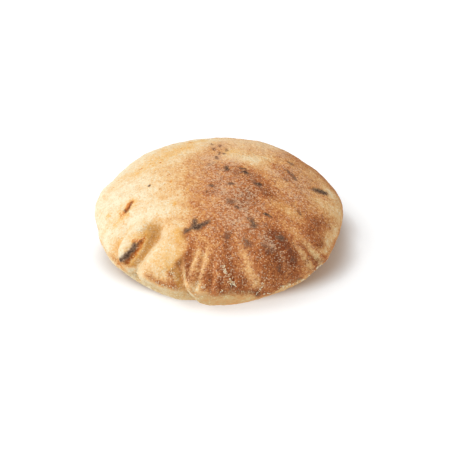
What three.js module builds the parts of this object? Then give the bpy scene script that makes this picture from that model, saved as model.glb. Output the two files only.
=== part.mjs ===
// A puccia: a round flat loaf that has puffed up on a hot stone and sunk back into folds along its rim.
// Millimetres, +Z up. The origin is the middle of the flat base, and the front of the loaf faces -Y.
// A place on the crust is given as on a globe. Its bearing runs round the loaf in degrees, 0 at the front
// and 90 at +X. Its polar angle is 0 at the crown, 90 at the widest rim and 180 at the edge of the base.
import * as THREE from "three";
import { mergeVertices } from "three/addons/utils/BufferGeometryUtils.js";

const { clamp, degToRad, euclideanModulo, lerp, radToDeg, smoothstep } = THREE.MathUtils;

// Driving dimensions.
const RIM_RADIUS = 99;
const RIM_HEIGHT = 24;
const DOME_HEIGHT = 41.5;
const SHOULDER = 1.16; // power of the dome's fall: 1 is half an ellipse, more has lower shoulders
const TUCK = 25; // how far the underside draws in between the rim and the flat base
const OVAL = 0.8; // how far the rim is out of round
const OVAL_BEARING = 116;

const CROWN = 0;
const RIM = 90;
const BASE_EDGE = 180;
const BASE_MIDDLE = 210;

// Folds are creases that run down the dome and over the rim. bearing is where one crosses the rim, lean is
// how many degrees further round it would be LEAN_SPAN degrees higher, and start and end are the polar angles
// that it shows between. depth is how deep it gets, left and right how wide its walls are, from outside.
const LEAN_SPAN = 60;
const FRONT_FOLDS = [
  { bearing: -77, lean: 6, start: 44, end: 112, depth: 1.3, left: 9, right: 4 },
  { bearing: -53, lean: -5, start: 42, end: 124, depth: 2.8, left: 9, right: 3.4 },
  { bearing: -43, lean: 3, start: 36, end: 132, depth: 6.6, left: 10, right: 3.2 },
  { bearing: -27, lean: 2, start: 70, end: 104, depth: 1.3, left: 4, right: 4 },
  { bearing: -15.5, lean: -9, start: 57, end: 150, depth: 5.4, left: 6, right: 2.2 },
  { bearing: -14, lean: -1, start: 46, end: 92, depth: 2.6, left: 3.4, right: 2.6 },
  { bearing: -9.5, lean: 3, start: 56, end: 118, depth: 2, left: 3, right: 2.4 },
  { bearing: -1.5, lean: -5, start: 46, end: 110, depth: 3, left: 4, right: 3 },
  { bearing: 6, lean: 1, start: 66, end: 108, depth: 1.2, left: 3, right: 2.6 },
  { bearing: 15.5, lean: -5, start: 46, end: 102, depth: 3.2, left: 8, right: 5 },
  { bearing: 22, lean: 0, start: 66, end: 100, depth: 1.2, left: 3, right: 3 },
  { bearing: 31, lean: -2, start: 54, end: 102, depth: 2.6, left: 7, right: 4 },
  { bearing: 45.5, lean: -6, start: 54, end: 108, depth: 2.6, left: 5, right: 2.2 },
  { bearing: 50, lean: -8, start: 48, end: 114, depth: 4, left: 4, right: 3.4 },
  { bearing: 68, lean: -22, start: 58, end: 118, depth: 3, left: 5, right: 3 },
];

// Folds go on round the sides and the back, evenly but for some scatter, and shallower than at the front.
const BACK_FOLDS = { first: 104, last: 268, count: 10, scatter: 5 };
const BACK_FOLD = { start: 60, end: 112, depth: 1.6, left: 6, right: 3.5 };
const FOLD_RISE = 16; // degrees of polar angle over which a fold gets its depth
const FOLD_FADE = 24; // and over which it loses it again
const CREASE_ROUND = 0.45; // how blunt the bottom of a crease is, as a share of its walls' width
const PUFF_SHARE = 0.3; // dough pushed up beside a crease, as a share of its depth
const PUFF_SPREAD = 2.2; // and how far it spreads, as a share of the walls' width

// Swells and hollows of the puffed skin: where each one's middle is, its half-length down the dome, its
// half-width round the loaf, and how far it stands out, or in where that is below zero.
const SWELLS = [
  { bearing: -39.5, polar: 49, length: 11, width: 10, height: -5.6 },
  { bearing: -29, polar: 70, length: 17, width: 10, height: 2.4 },
  { bearing: -50, polar: 70, length: 16, width: 7, height: 1.6 },
  { bearing: -35, polar: 116, length: 26, width: 14, height: -3.4 },
  { bearing: -18, polar: 128, length: 28, width: 14, height: 1 },
  { bearing: 12, polar: 132, length: 34, width: 20, height: 1.5 },
  { bearing: 22, polar: 62, length: 22, width: 12, height: 1.2 },
  { bearing: 37, polar: 66, length: 18, width: 9, height: 1.4 },
  { bearing: 41, polar: 116, length: 36, width: 14, height: 2 },
  { bearing: 58, polar: 66, length: 20, width: 12, height: 1.6 },
  { bearing: 88, polar: 74, length: 24, width: 24, height: 2.4 },
  { bearing: 150, polar: 48, length: 28, width: 34, height: 1.6 },
  { bearing: -172, polar: 58, length: 30, width: 34, height: 0.9 },
  { bearing: -138, polar: 66, length: 28, width: 26, height: 1.8 },
  { bearing: -98, polar: 72, length: 28, width: 24, height: 2.6 },
];

// The seam where the top and bottom skins meet is a low ragged ridge just under the rim.
// Its raggedness adds up waves, counted by how many go round the loaf.
const SEAM = { polar: 97, spread: 6, height: 0.4, ragged: 0.7, swing: 9, waves: 23, ripples: 41 };

// The crust is a grid of columns round the loaf and rows from crown to base, finest at the folds.
const COLUMNS = 160;
const FRONT_CROWDING = 0.6; // 0 spaces the columns evenly, 1 crowds them all the way to the front
const ROWS = [
  { to: 36, count: 6 },
  { to: 104, count: 22 },
  { to: BASE_EDGE, count: 6 },
  { to: BASE_MIDDLE, count: 2 },
];

const NEAR_ZERO = 1e-6;
const WELD = 1e-3; // points closer than this are one point

const CRUST = { color: 0xc79a68, roughness: 0.85, metalness: 0 };

const bell = (x) => Math.exp(-x * x);
const angleBetween = (from, to) => euclideanModulo(to - from + 180, 360) - 180;
const unevenness = (n) => Math.sin(2.4 * n + 1.3) * Math.cos(1.7 * n);

function rimRadius(bearing) {
  return RIM_RADIUS + OVAL * Math.cos(2 * degToRad(bearing - OVAL_BEARING));
}

// The smooth loaf's profile at a place: radius and height, and the direction that its skin faces.
function profile(bearing, polar) {
  const rim = rimRadius(bearing);
  const angle = degToRad(Math.min(polar, BASE_EDGE));
  const sine = Math.sin(angle);
  const cosine = Math.cos(angle);
  if (polar <= RIM) {
    const upright = Math.max(cosine, NEAR_ZERO);
    const fall = upright ** SHOULDER;
    const outward = (SHOULDER * DOME_HEIGHT * sine * fall) / upright;
    const facing = new THREE.Vector2(outward, rim * cosine).normalize();
    return { radius: rim * sine, height: RIM_HEIGHT + DOME_HEIGHT * fall, facing };
  }
  const edge = rim - TUCK * (1 - sine);
  const inward = clamp((polar - BASE_EDGE) / (BASE_MIDDLE - BASE_EDGE), 0, 1);
  const facing = new THREE.Vector2(RIM_HEIGHT * sine, TUCK * cosine).normalize();
  return { radius: edge * (1 - inward), height: RIM_HEIGHT * (1 + cosine), facing };
}

function backFolds() {
  const { first, last, count, scatter } = BACK_FOLDS;
  return Array.from({ length: count }, (_, n) => ({
    ...BACK_FOLD,
    bearing: lerp(first, last, n / (count - 1)) + scatter * unevenness(n),
    lean: scatter * unevenness(n + count),
    depth: BACK_FOLD.depth * (1 + 0.5 * unevenness(n + 2 * count)),
  }));
}

const FOLDS = [...FRONT_FOLDS, ...backFolds()];

function foldRelief(fold, bearing, polar) {
  const rise = smoothstep(polar, fold.start, fold.start + FOLD_RISE);
  const fade = 1 - smoothstep(polar, fold.end - FOLD_FADE, fold.end);
  if (rise * fade === 0) return 0;
  const crease = fold.bearing + (fold.lean * (RIM - polar)) / LEAN_SPAN;
  const across = degToRad(angleBetween(crease, bearing)) * RIM_RADIUS * Math.sin(degToRad(polar));
  const wall = Math.abs(across) / (across < 0 ? fold.left : fold.right);
  const cut = Math.exp(CREASE_ROUND - Math.hypot(wall, CREASE_ROUND));
  const puff = PUFF_SHARE * bell(across / (PUFF_SPREAD * (fold.left + fold.right)));
  return fold.depth * rise * fade * (puff - cut);
}

function swellRelief(swell, bearing, polar) {
  const round = degToRad(angleBetween(swell.bearing, bearing)) * RIM_RADIUS * Math.sin(degToRad(polar));
  const down = degToRad(polar - swell.polar) * RIM_RADIUS;
  return swell.height * bell(Math.hypot(round / swell.width, down / swell.length));
}

function seamRelief(bearing, polar) {
  const turn = degToRad(bearing);
  const waves = Math.sin(SEAM.waves * turn) * Math.sin(SEAM.swing * turn + 1);
  const ragged = waves + 0.5 * Math.sin(SEAM.ripples * turn);
  return SEAM.height * (1 + SEAM.ragged * ragged) * bell((polar - SEAM.polar) / SEAM.spread);
}

function relief(bearing, polar) {
  const folds = FOLDS.reduce((sum, fold) => sum + foldRelief(fold, bearing, polar), 0);
  const swells = SWELLS.reduce((sum, swell) => sum + swellRelief(swell, bearing, polar), 0);
  return folds + swells + seamRelief(bearing, polar);
}

function crustPoint(bearing, polar) {
  const { radius, height, facing } = profile(bearing, polar);
  const out = polar < BASE_EDGE ? relief(bearing, polar) : 0;
  const reach = radius + facing.x * out;
  const turn = degToRad(bearing);
  const level = Math.max(height + facing.y * out, 0);
  return new THREE.Vector3(reach * Math.sin(turn), -reach * Math.cos(turn), level);
}

function polarRows() {
  const rows = [CROWN];
  for (const { to, count } of ROWS) {
    const from = rows.at(-1);
    for (let n = 1; n <= count; n++) rows.push(lerp(from, to, n / count));
  }
  return rows;
}

// Even columns are drawn together towards the front, where the folds are tightest.
function columnBearing(column) {
  const even = (column / COLUMNS) * 360 - 180;
  return even - FRONT_CROWDING * radToDeg(Math.sin(degToRad(even)));
}

// A sphere's grid of rows and columns, with every vertex moved onto the crust.
function crustGeometry() {
  const rows = polarRows();
  const geometry = new THREE.SphereGeometry(1, COLUMNS, rows.length - 1);
  const position = geometry.getAttribute("position");
  for (let n = 0; n < position.count; n++) {
    const polar = rows[Math.floor(n / (COLUMNS + 1))];
    const bearing = columnBearing(n % (COLUMNS + 1));
    const { x, y, z } = crustPoint(bearing, polar);
    position.setXYZ(n, x, y, z);
  }
  geometry.deleteAttribute("normal");
  geometry.deleteAttribute("uv");
  const closed = mergeVertices(geometry, WELD);
  closed.computeVertexNormals();
  return closed;
}

const puccia = new THREE.Group();
const loaf = new THREE.Mesh(crustGeometry(), new THREE.MeshStandardMaterial(CRUST));
loaf.name = "loaf";
puccia.add(loaf);

export default puccia;
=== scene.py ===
"""A puccia: a round flat loaf with a puffed, folded, scorched and floury crust, on a pale floor.

The file is laid out as a Blender add-on and is run as a script. Objects are in metres, +Z up, with the
front of the loaf facing -Y, and the lists of folds, swells and strokes are in millimetres. A place on the
crust is given as on a globe: its bearing runs round the loaf in degrees, 0 at the front and 90 at +X, and
its polar angle is 0 at the crown, 90 at the rim and 180 at the edge of the base.
"""

import math
from collections import namedtuple

import bpy
import numpy as np
from bpy.props import FloatProperty, FloatVectorProperty, IntProperty, PointerProperty
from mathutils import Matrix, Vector


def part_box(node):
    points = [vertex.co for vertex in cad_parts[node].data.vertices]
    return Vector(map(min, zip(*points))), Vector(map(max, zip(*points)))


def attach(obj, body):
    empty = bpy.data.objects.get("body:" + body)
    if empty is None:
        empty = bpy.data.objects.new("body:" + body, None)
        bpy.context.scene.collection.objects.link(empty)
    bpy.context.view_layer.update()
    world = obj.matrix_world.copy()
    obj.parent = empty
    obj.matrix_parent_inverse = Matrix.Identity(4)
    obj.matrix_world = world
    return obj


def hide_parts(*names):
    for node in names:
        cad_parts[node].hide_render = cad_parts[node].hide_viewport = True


bl_info = {
    "name": "Puccia",
    "version": (1, 0, 0),
    "blender": (4, 5, 0),
    "location": "View3D > Sidebar > Puccia",
    "description": "Makes a puffed flat bread with a folded, scorched and floury crust",
    "category": "Add Mesh",
}

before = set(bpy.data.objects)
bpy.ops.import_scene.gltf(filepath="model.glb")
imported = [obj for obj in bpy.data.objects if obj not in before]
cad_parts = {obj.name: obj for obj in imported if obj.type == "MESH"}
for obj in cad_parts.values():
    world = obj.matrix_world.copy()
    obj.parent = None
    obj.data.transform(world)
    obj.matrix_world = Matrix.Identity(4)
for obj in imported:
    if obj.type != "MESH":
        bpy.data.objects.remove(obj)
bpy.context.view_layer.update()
CAD_NODE = "loaf"
CAD_BODY = "root"
LOAF_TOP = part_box(CAD_NODE)[1].z

MM = 0.001
CROWN, RIM, BASE_EDGE, BASE_MIDDLE = 0, 90, 180, 210
NEAR_ZERO = 1e-6

# Folds are creases that run down the dome and over the rim. Bearing is where one crosses the rim, lean is
# how many degrees further round it would be LEAN_SPAN degrees higher, and start and end are the polar
# angles that it shows between. It has a depth, and the widths of its left and right walls.
Fold = namedtuple("Fold", "bearing lean start end depth left right")
LEAN_SPAN = 60
FRONT_FOLDS = [
    Fold(-77, 6, 44, 112, 1.6, 9, 3),
    Fold(-66, 2, 52, 108, 1.2, 6, 3),
    Fold(-51.5, -9, 44, 116, 4.6, 8, 1.9),
    Fold(-41.2, 4, 43, 132, 7.6, 9, 4),
    Fold(-27, 2, 70, 104, 1.4, 4, 3),
    Fold(-15.5, -7, 57, 160, 6.8, 6, 1.8),
    Fold(-16.5, 6.5, 48, 90, 3.2, 3, 2.2),
    Fold(-10.7, 4.5, 44, 104, 3.2, 3, 2.2),
    Fold(-3.8, 2, 50, 106, 2, 3.4, 2),
    Fold(6, 1, 66, 108, 1.4, 3, 2),
    Fold(15, -6, 46, 105, 2.8, 8, 4),
    Fold(22, 0, 66, 100, 1.4, 3, 2.4),
    Fold(31, -2, 54, 102, 2.2, 7, 3.4),
    Fold(44.3, -7, 54, 108, 3.4, 5, 2),
    Fold(49.8, -7, 57, 114, 3.8, 4, 2.8),
    Fold(68, -22, 58, 106, 1.8, 5, 3),
]
# Shallower folds go on round the back between these bearings, evenly but for a scatter in degrees.
BACK_FOLD = Fold(0, 0, 60, 112, 1.6, 6, 3.5)
BACK_FIRST, BACK_LAST, BACK_COUNT, BACK_SCATTER = 122, 248, 9, 5
# Degrees of polar angle over which a fold gets its depth, and over which it loses it again.
FOLD_RISE, FOLD_FADE = 16, 24
# How blunt the bottom of a crease is, as a share of its walls' widths.
CREASE_ROUND = 0.22
# Dough pushed up beside a crease, as a share of its depth, and its spread, as a share of the fold's width.
PUFF_SHARE, PUFF_SPREAD = 0.3, 2.2
# The wall right of a crease faces the key light and is painted paler, partly as dough that took no colour
# and partly as a painted highlight, the more so from the first of these depths to the second. The pale
# band's middle and spread are shares of the wall's width, which counts as PALE_WIDTH at least.
SHALLOW_FOLD, DEEP_FOLD = 1.5, 5
PALE_WIDTH, PALE_MIDDLE, PALE_SPREAD = 2.2, 0.7, 0.8

# Swells and hollows of the puffed skin: the place of each one's middle, its half-length down the dome, its
# half-width round the loaf, and how far it stands out, or in where that is below zero.
Swell = namedtuple("Swell", "bearing polar length width height")
SWELLS = [
    Swell(-41, 50.5, 11, 8, -5.8),
    Swell(-29, 70, 18, 11, 2.2),
    Swell(-50, 72, 18, 7, 2.6),
    Swell(-35, 116, 26, 14, -3.4),
    Swell(-46, 106, 12, 10, 1.4),
    Swell(-18, 128, 28, 14, 1),
    Swell(12, 132, 34, 20, 1.5),
    Swell(22, 62, 22, 12, 1.2),
    Swell(37, 66, 18, 9, 1.4),
    Swell(41, 116, 36, 14, 2),
    Swell(58, 66, 20, 12, 1.6),
    Swell(54, 92, 18, 12, 2.8),
    Swell(88, 74, 24, 24, 2.4),
    Swell(96, 84, 18, 16, 1.6),
    Swell(150, 48, 28, 34, 1.6),
    Swell(-172, 58, 30, 34, 0.9),
    Swell(-138, 66, 28, 26, 1.8),
    Swell(-98, 72, 28, 24, 2.6),
    Swell(-92, 84, 18, 18, 1.4),
]

# Where the browned top skin ends above the pale side, as polar angles at these bearings.
SKIN_BEARINGS = (
    -180, -100, -85, -48, -44, -36, -32, -27, -22, -19, -15, -10, -6, -3, -0.5, 1.5, 3, 9, 12, 14.5, 17, 24,
    27.5, 30, 38, 45, 52, 61, 80, 180)
SKIN_ENDS = (
    97, 97, 112, 116, 97, 94, 95, 99, 97, 100, 102, 101, 97, 103, 104, 100, 97, 100, 101, 106, 122, 126,
    118, 106, 108, 109, 114, 110, 102, 97)
# The side lies in from the skin by this lip. It steps in over LIP_EDGE degrees above and below the skin's
# end, and comes out again between LIP_FADE degrees below it.
SKIN_LIP = 0.5
LIP_EDGE = 4
LIP_FADE = (10, 50)

# Marks on the crust are strokes, with two ends in plan, a half-width and a strength. What their headings
# call the pillow is the dough that swells between the two deepest folds.
Stroke = namedtuple("Stroke", "x0 y0 x1 y1 width strength")


def strokes(*rows):
    """Strokes from rows of their six numbers."""
    return [Stroke(*row) for row in rows]


# Burns.
CHAR_STROKES = strokes(
    # The scorch on the left, and a speck.
    (-74, -26.5, -73, -29, 0.9, 0.45), (-70, -23, -71.6, -27.5, 0.8, 0.4),
    (-55.3, -6.2, -55.2, -7.4, 0.8, 1),
    # The branching burn right of the pillow.
    (-25.8, -61.6, -22, -60.6, 2, 0.75), (-22, -60.6, -18.5, -58.8, 2, 0.85),
    (-18.2, -59.4, -15.8, -59.6, 3, 1), (-19, -57, -18.4, -53.4, 2.6, 0.85),
    (-15.5, -58.6, -12, -56.8, 2.4, 0.85), (-12, -56.8, -8.4, -55.2, 2.3, 0.75),
    # Spots about the crown, and in front of it.
    (6, 6.5, 6.3, 3.5, 2.4, 0.95), (16.5, 7.3, 20.5, 6.2, 1.6, 0.7), (20.6, 1.5, 21.8, 0, 2.8, 0.95),
    (14, 0, 26, -3, 6.2, 0.28), (29.5, -12.8, 31.8, -13.8, 2.5, 1), (27.5, -10.5, 29, -11, 2.8, 0.4),
    (8.2, -15.3, 10, -15.5, 2, 0.7), (-6.6, -17, -5.2, -17.9, 2.1, 0.8),
    (-10, -24, -9.6, -25.5, 2, 0.4), (7.5, -35, 10, -36.5, 3.2, 0.5),
    (13, -40.5, 13.8, -41.3, 1.9, 0.75), (35, -44.5, 38, -45.7, 1.5, 0.95),
    (38, -45.7, 40, -46.6, 1.1, 0.7), (25.5, -54, 26.5, -56.5, 3.2, 0.85),
    (22.5, -51, 23.5, -53, 2.5, 0.4), (-8, 12, -5, 14, 3.8, 0.3),
    # Spots behind the crown.
    (-2.4, 25, -1.6, 21.5, 1.7, 0.65), (0, 33, 0.6, 29, 1.2, 0.55), (3.6, 32.5, 4.2, 29, 1.2, 0.55),
    (6, 41, 6.6, 36.5, 1.6, 0.5), (0.4, 51, 1, 46.5, 1.5, 0.5), (-4.5, 42.5, -4, 38, 1.5, 0.5),
    (-6.5, 55.5, -5.5, 50.5, 1.4, 0.45),
    # The right side.
    (77.5, -1.2, 85, 0.9, 3.2, 1), (58, 29, 60, 27, 2.6, 0.6), (55, 13, 57, 10.5, 2.2, 0.55),
    (58.5, 9.5, 61.5, 4.5, 2.2, 0.65), (52, 0, 54, -1, 2.2, 0.4), (63, -4, 64, -6, 3, 0.3),
    (62, -35, 63, -37, 2.6, 0.4),
    # The front.
    (35, -73.5, 38, -75, 3.8, 0.5), (20.5, -70.5, 21.5, -73, 4, 0.5), (5.3, -66.5, 5.5, -69, 3.1, 0.5),
)

# How well the top is baked from left to right: 0 is pale and MOST_BAKED toasted. Behind BAKED_BEND, all of
# it lies further right by BAKED_SLANT for each millimetre.
BAKED_X = (-100, -70, -50, -35, -20, -5, 20, 100)
BAKED = (0.03, 0.09, 0.21, 0.35, 0.58, 0.78, 0.82, 0.72)
BAKED_BEND, BAKED_SLANT = 15, 0.28
MOST_BAKED = 1.2
# Patches that are browner than that, or paler where the strength is below zero.
BROWN_STROKES = strokes(
    # Browner: the front.
    (30, -15, 22, -32, 9, 0.2), (0, -26, 14, -36, 9, 0.08), (5, -64, 5, -76, 6, 0.12),
    (2, -84, 14, -94, 8, 0.22), (-24, -66, -21, -70, 5, 0.2), (-42, -52, -36, -50, 5, 0.14),
    # Browner: the right.
    (34, -74, 54, -80, 11, 0.28), (47, -62, 54, -74, 6, 0.2), (70, -64, 76, -60, 5, 0.15),
    (80, -30, 74, -48, 8, 0.22), (46, 14, 60, 8, 6, 0.08),
    # Browner: the back.
    (0, 52, -3, 24, 6, 0.15), (20, 84, 50, 74, 9, 0.15),
    # Paler: the left and the pillow.
    (-40, 30, -24, 44, 12, -0.08), (-66, -50, -52, -38, 10, -0.12), (-38, -36, -34, -54, 10, -0.16),
    (-41, -74, -38, -82, 8, -0.18),
    # Paler: the front.
    (-5, -33, -4, -31, 3, -0.25), (28, -72, 30, -74, 7, -0.12), (47, -33, 58, -38, 8, -0.18),
    (50, -50, 60, -56, 4, -0.2), (60, -74, 66, -78, 8, -0.12),
    # Paler: the right.
    (36, 6, 48, -6, 9, -0.12), (48, -8, 56, -14, 7, -0.1), (70, 4, 74, -12, 9, -0.12),
    (76, 26, 90, 6, 7, -0.12), (78, 34, 84, 24, 10, -0.15), (80, -18, 79, -26, 7, -0.12),
    (84, -44, 82, -54, 5, -0.15), (88, 8, 84, -16, 10, -0.2),
    # Paler: behind the crown.
    (8, 27, 29, 24, 13, -0.4), (16, 46, 34, 48, 10, -0.15), (24, 20, 36, 12, 7, -0.22),
    (32, 28, 42, 28, 8, -0.12), (42, 30, 68, 24, 9, -0.14), (-10, 38, 50, 34, 12, -0.12),
    (-20, 58, 40, 62, 16, -0.24), (-5, 72, 50, 62, 14, -0.28),
)

# Red-brown patches.
TOAST_STROKES = strokes(
    # The scorch on the left.
    (-74.2, -25.5, -73, -29.5, 1.2, 1), (-69.2, -20.5, -71.8, -28.5, 1.2, 1),
    # Beside the branching burn.
    (-27, -64, -21, -70, 4, 0.36),
    # About the crown.
    (9, 9.5, 24, 5.5, 1.3, 0.5), (23, -18, 28, -26, 5, 0.36), (34, -17, 40, -24, 6, 0.65),
    (19, -38, 26, -30, 5, 0.65), (-13.5, 7, -13, 5.5, 1.2, 0.36), (-12.3, 5, -11, 4.8, 1.6, 0.4),
    (-14, 1, -13.5, -0.5, 1.2, 0.36), (-12.8, 41.5, -12.6, 39.5, 1.2, 0.36),
    # The right.
    (50, 1, 62, 5, 4, 0.24), (52, 16, 58, 11, 4, 0.27), (60.5, -20, 61.5, -22, 1.9, 0.39),
    (62, -27, 62.5, -29, 1.9, 0.27), (70, -52, 78, -53, 6, 0.42), (74, -42, 72, -48, 6, 0.39),
    (78, -34, 86, -32.5, 4.5, 0.45),
    # The back.
    (14, 82, 30, 80, 6, 0.3), (52, 66, 60, 58, 5, 0.27),
)

# Orange freckles, rings round the burns, and patches that are more golden than brown.
AMBER_STROKES = strokes(
    # Round the scorch on the left.
    (-72.6, -27, -71, -21.5, 2.4, 1.2), (-76, -32, -69, -20, 4, 0.75), (-80, -34, -70, -20, 6, 0.35),
    (-81, -36, -75, -28, 4, 0.45), (-78.2, -28, -76, -33, 2.6, 0.6),
    (-73.5, -31, -71.5, -33, 2.8, 0.55), (-68, -27, -66, -26, 3, 0.32), (-79, -22, -77, -19, 3, 0.4),
    # Freckles and small patches.
    (-65.3, 24.3, -62.6, 24.7, 1, 1), (-47.8, 26, -47.8, 25, 1.4, 0.85), (-38.4, -7, -38.4, -8, 1.1, 1),
    (-24.7, -20, -24.7, -20.8, 0.9, 1), (-34.5, -34, -34.5, -35, 1.7, 0.65),
    (-42.4, -39, -42, -38.8, 1, 0.65), (-26.5, 61.5, -23.5, 63.5, 1.7, 0.85),
    (-88, -21.5, -87.5, -22, 2.5, 0.45), (-91, -1, -90.5, -2, 3, 0.3), (-58.6, 40, -56, 41, 2.5, 0.3),
    (-50, 70, -40, 76, 4, 0.5),
    # Broad patches.
    (-42, -72, -39, -82, 9, 0.35), (-32, -62, -30, -68, 5, 0.45), (-46, -36, -42, -38, 7, 0.25),
    (-82, -30, -92, -36, 4, 0.25), (-86, 10, -76, 22, 7, 0.3), (-66, 20, -46, 36, 12, 0.42),
    (-58, 44, -46, 52, 6, 0.35), (-48, 34, -26, 52, 10, 0.5), (-34, 57, -12, 66, 7, 0.4),
    (8, 34, 14, 38, 5, 0.4), (48, -32, 58, -38, 9, 0.15),
)

# Flour lies all over the top, and thicker along these strokes.
DUSTING = 0.12
FLOUR_STROKES = strokes(
    (-5, 18, 14, -50, 30, 0.5), (62, 14, 62, -14, 22, 0.45), (32, -66, 39, -71, 5, 0.7),
    (-9, 8, -4, 16, 5, 0.8), (40, 10, 46, 4, 5, 0.7), (62, -2, 68, -10, 5, 0.7),
    (-30, 84, 70, 60, 10, 0.4), (-10, 50, 50, 44, 14, 0.6), (-10, 24, 14, 18, 10, 0.75),
    (10, 62, 45, 56, 18, 0.85), (-44, -90, 34, -92, 6, 0.2),
)

# Near the rim the strokes' ends are along it from the front and down over it, where a degree of polar angle
# counts as RIM_FALL. Strokes in plan fade out over the rim, between these polar angles.
RIM_FALL = 0.85
TOP_FADE = (90, 104)
CHAR_RIM = strokes(
    # The long burn in the fold on the left.
    (-85, -6, -81, -12, 2, 1), (-81, -12, -79, -18, 1.9, 1), (-78.8, -18, -79.4, -22, 2, 0.85),
    (-79.2, -22, -78, -25, 1.4, 0.4), (-78.3, -26, -78, -27, 0.9, 0.6),
    # The front and the right front.
    (9.5, -8, 10, -7.5, 1.5, 0.7), (30, 16, 30.5, 17, 3.4, 0.65), (36, 14, 36.5, 14, 0.9, 0.8),
    (48.5, -14.5, 49, -13, 3.4, 0.55), (55, 8, 65, 15, 1.1, 0.55), (66, 10.5, 66.5, 11, 2.8, 0.7),
    (62, -17, 63, -15.5, 2.8, 0.5), (63, -27, 64.5, -15, 3, 0.4), (60.5, -33, 64, -31, 2.8, 0.75),
    # The back, like what shows.
    (-275, -19, -273.5, -17.5, 2.6, 0.7), (-271, -15.5, -270.4, -15, 1.7, 0.5),
    (-246, -14, -245.2, -15, 2.3, 0.5), (243, -16, 244.6, -17, 3, 0.55),
    (249, -20, 249.5, -20.4, 1.7, 0.5), (284, -15, 286, -15.6, 3, 0.5),
    (304, -21.5, 305, -20.8, 2.6, 0.45),
)
BROWN_RIM = strokes(
    # Browner: the left. The second stroke is painted shade in the valley left of a fold's crease.
    (-148, 4, -92, 4, 6, 0.2), (-97, -16, -97, -2, 4.5, 0.3), (-90, 8, -80, 18, 7, 0.42),
    (-84, -3, -76, -5, 3.5, 0.4),
    # Browner: round the pillow.
    (-56, -6, -45, -1, 4.5, 0.36), (-45, -1, -38, -2, 4.5, 0.36), (-27, -31, -35, -22, 2.8, 0.45),
    (-35, -22, -39, -14, 2.6, 0.4), (-39, -14, -34, 3, 3.5, 0.35),
    # Browner: the front.
    (-30, -20, -28, -16, 4, 0.2), (-28, -24, -25, -14, 4, 0.3), (-12, -16, -10, -8, 5, 0.1),
    (-9, -14, -8, -8, 4, 0.15), (14, 8, 28, 10, 5, 0.3), (58, -34, 62, -24, 8, 0.28),
    # Paler: the front. The first two strokes are a painted highlight on the lit edge of the deep fold.
    (-24, 0, -21.5, 7, 1.8, -0.5), (-21.5, 7, -17, 16, 1.8, -0.5), (-20, -6, -12, 3, 3.5, -0.3),
    (-10, -30, -11.4, -24, 2.2, -0.1), (2, -30, 3, -28, 6, -0.18), (15, -27, 17, -20, 4, -0.1),
    (21, -31, 25, -18, 5, -0.16), (24, -18, 26.5, -3, 4, -0.14),
    # Paler: the right.
    (50, 0, 54, 4, 5, -0.25), (90, -11, 97, -6, 3, -0.35), (118, -9, 105, -10, 7, -0.3),
    (118, -26, 134, -20, 8, -0.1), (142, -12, 124, -7, 9, -0.2), (160, -18, 142, -12, 10, -0.2),
)
TOAST_RIM = strokes(
    # Beside the long burn.
    (-80.5, -6, -77.5, -16, 2.4, 0.9), (-77.5, -16, -76.8, -22, 1.8, 0.85),
    (-81, -18, -80, -23, 2.2, 0.5), (-79, -21, -77, -23, 2, 0.95), (-77.4, -22, -77, -26, 1.8, 0.7),
    # Round the pillow.
    (-55, -6, -53, -5.5, 3, 0.51), (-46, -1, -38, -3, 3, 0.3), (-27, -31, -35, -22, 1.8, 0.42),
    (-35, -22, -39, -14, 1.6, 0.42),
    # The front.
    (-28, -24, -25, -14, 3.6, 0.6), (-25.5, -13.5, -22, -9.5, 2.4, 0.45),
    (-14.5, -11, -10.5, -20, 2.4, 0.39), (-8, -16, -6, -9, 3, 0.5), (-5, -17, -7, -7, 2.2, 0.4),
    (0, -12, 5, 8, 4, 0.8), (2, -26, 14, -4, 10, 0.3), (7.5, -24, 13.5, -12, 5.5, 0.3),
    (8, -6, 24, 7, 3, 0.45),
    # The right front.
    (38, -24, 45, 14, 7, 0.36), (40, -22, 50, 6, 10, 0.3), (53, -19, 66, 10, 7, 0.33),
    (61.5, -28, 62.5, -22, 3.8, 0.9), (62.5, -22, 57.5, -21, 3, 0.8),
    (62.5, -22, 62.5, -14.5, 3.2, 0.95),
    # The right.
    (77, -10, 81, -3, 2.4, 0.4), (81, -8, 86.5, -4.5, 2.6, 0.6), (81.5, -3, 89.5, 0, 3, 0.75),
    (84, 0, 88, 6, 4, 0.36), (81, 4, 87, 5, 3.5, 0.8), (92, -14.5, 97, -14.5, 2.8, 0.9),
    (102, 3, 103, 4, 1.9, 0.6),
)
AMBER_RIM = strokes(
    # Round the long burn.
    (-79, -7, -76, -17, 2.6, 0.9), (-76, -17, -75.5, -23, 2.4, 1), (-76, -23, -77.5, -28, 2.6, 0.95),
    (-78, -28, -80, -31, 3.5, 0.6), (-82.5, -17, -81.5, -24, 2.6, 0.4),
    # The last stroke below is painted warm bounce light on the shaded wall above the hollow.
    (-82.4, -24.3, -78.8, -26, 2.4, 0.9), (-86, -25, -82, -28, 4, 0.5), (-93, -35, -84, -36, 5, 0.25),
    # Painted shade in the valleys of the folds on the left.
    (-99, -29, -97, -17, 2.6, 0.3), (-97, -17, -97, -3, 3.5, 0.22),
    (-117.7, -30, -120.8, -20.7, 2.6, 0.3), (-118.5, -13, -118.5, -11, 2.4, 0.35),
    # The pillow, and a bit of the right edge.
    (-51, -22, -38, -26, 8, 0.36), (-46, -18, -38, -18, 5, 0.42), (102, 3, 104, 4, 2.5, 0.7),
)
# Valleys painted honey-brown, partly the skin's own golden colour and partly painted shade down in the
# folds: the hollow on the left with its fold, and the deep fold at the front.
HONEY_SHADE_RIM = strokes(
    (-81, -35, -72, -36, 4.5, 0.9), (-77, -32, -71, -33, 5, 1), (-72, -29, -69.5, -23, 4.5, 1),
    (-69.5, -23, -72.5, -16, 4, 1), (-72.5, -16, -75, -8, 4, 0.85), (-33, -14, -32, -8, 2.4, 0.75),
    (-32, -8, -30, 4, 2.2, 0.8),
)
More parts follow.
